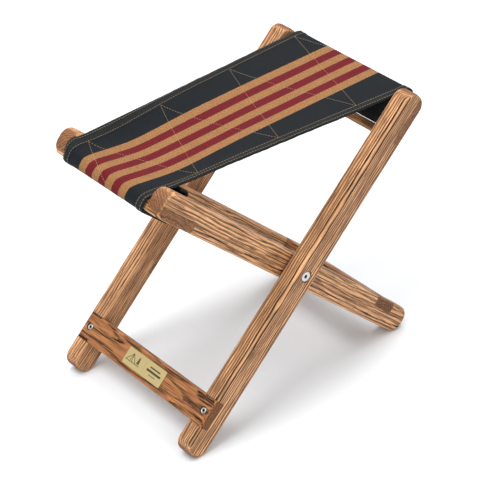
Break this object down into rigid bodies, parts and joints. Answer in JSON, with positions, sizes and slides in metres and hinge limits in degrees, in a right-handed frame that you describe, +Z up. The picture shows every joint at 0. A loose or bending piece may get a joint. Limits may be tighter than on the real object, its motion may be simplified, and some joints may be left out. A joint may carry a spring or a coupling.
{
  "type": "folding camp stool",
  "caption": "Low folding camp stool: crossed hardwood frames on pivot bolts, with a striped canvas seat slung between the top rails and a small brass plate on a foot board.",
  "frame": {"origin": "on the floor, at the centre of the overall box, straight under the pivot bolts", "axes": "+X along the seat from the rail of the inner frame to the rail of the outer frame, +Y along the rails, +Z up; the stool stands open"},
  "size_m": [0.4546, 0.288, 0.4167],
  "materials": {
    "leg_wood": "stained open-pore ash with a satin oil finish",
    "board_wood": "stained ash with dark pores along the board, satin oil finish",
    "canvas": "close plain-weave canvas with woven tan and red stripes down the middle",
    "steel": "bright zinc-plated",
    "brass": "satin, engraved",
    "nylon": "natural white"
  },
  "bodies": {
    "outer_frame": {"outer_leg_front": "leg_wood", "outer_leg_rear": "leg_wood", "outer_foot_stretcher": "board_wood", "outer_seat_rail": "board_wood", "outer_stretcher_screw_front": "steel", "outer_stretcher_screw_rear": "steel", "outer_rail_screw_front": "steel", "outer_rail_screw_rear": "steel", "outer_sleeve": "canvas", "pivot_bolt_front": "steel", "pivot_sleeve_nut_front": "steel", "pivot_washer_front": "nylon", "pivot_bolt_rear": "steel", "pivot_sleeve_nut_rear": "steel", "pivot_washer_rear": "nylon", "name_plate": "brass", "seat_panel": "canvas"},
    "inner_frame": {"inner_leg_front": "leg_wood", "inner_leg_rear": "leg_wood", "inner_foot_stretcher": "board_wood", "inner_seat_rail": "board_wood", "inner_stretcher_screw_front": "steel", "inner_stretcher_screw_rear": "steel", "inner_rail_screw_front": "steel", "inner_rail_screw_rear": "steel", "inner_sleeve": "canvas"}
  },
  "joints": [
    {"name": "fold", "type": "hinge", "parent": "outer_frame", "child": "inner_frame", "pos_m": [0, 0, 0.20834], "axis": [0, 1, 0], "range_deg": [0, 88], "deforming": ["seat_panel", "outer_sleeve", "inner_sleeve"]}
  ]
}
